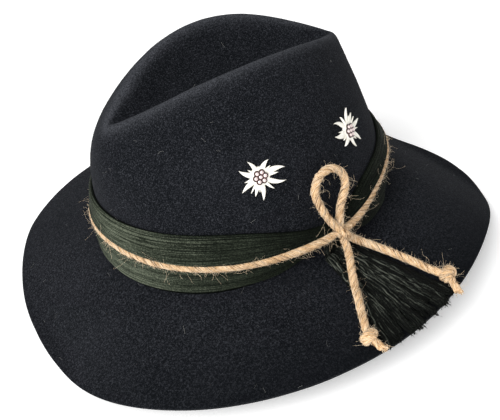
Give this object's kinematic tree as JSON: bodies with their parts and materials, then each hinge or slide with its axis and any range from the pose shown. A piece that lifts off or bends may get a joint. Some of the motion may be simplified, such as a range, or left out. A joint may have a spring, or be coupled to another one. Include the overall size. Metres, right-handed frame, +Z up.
{
  "type": "tyrolean hat",
  "caption": "Dark felt hat with a dented crown, turned brim, green thread band ending in a tassel, a jute cord tied in a bow and white flower badges.",
  "frame": {"origin": "On the table, under the middle of the hat's outer box, where the front and back of the brim rest.", "axes": "+X to the front of the hat, +Y to the wearer's left, +Z up through the crown."},
  "size_m": [0.3401, 0.3212, 0.1648],
  "materials": {
    "felt": "matt blue-black wool felt with a short nap",
    "thread": "dark green thread",
    "jute": "tan twisted jute with loose fibres",
    "ivory_enamel": "ivory enamel, softly glossy",
    "brown_enamel": "dark brown enamel",
    "bead_metal": "bright metal with a faint pink cast",
    "pin_steel": "plain pressed steel"
  },
  "bodies": {
    "root": {"felt_body": "felt", "hatband": "thread", "tassel": "thread", "cord_round": "jute", "cord_knot": "jute", "cord_loop": "jute", "cord_tail_front": "jute", "cord_tail_side": "jute", "end_knot_front": "jute", "end_knot_side": "jute", "badge_side_petals": "ivory_enamel", "badge_side_heart": "brown_enamel", "badge_side_bead_1": "bead_metal", "badge_side_bead_2": "bead_metal", "badge_side_bead_3": "bead_metal", "badge_side_bead_4": "bead_metal", "badge_side_bead_5": "bead_metal", "badge_side_bead_6": "bead_metal", "badge_side_bead_7": "bead_metal", "badge_side_clutch": "pin_steel", "badge_front_petals": "ivory_enamel", "badge_front_heart": "brown_enamel", "badge_front_bead_1": "bead_metal", "badge_front_bead_2": "bead_metal", "badge_front_bead_3": "bead_metal", "badge_front_bead_4": "bead_metal", "badge_front_bead_5": "bead_metal", "badge_front_bead_6": "bead_metal", "badge_front_bead_7": "bead_metal", "badge_front_clutch": "pin_steel"}
  },
  "joints": []
}
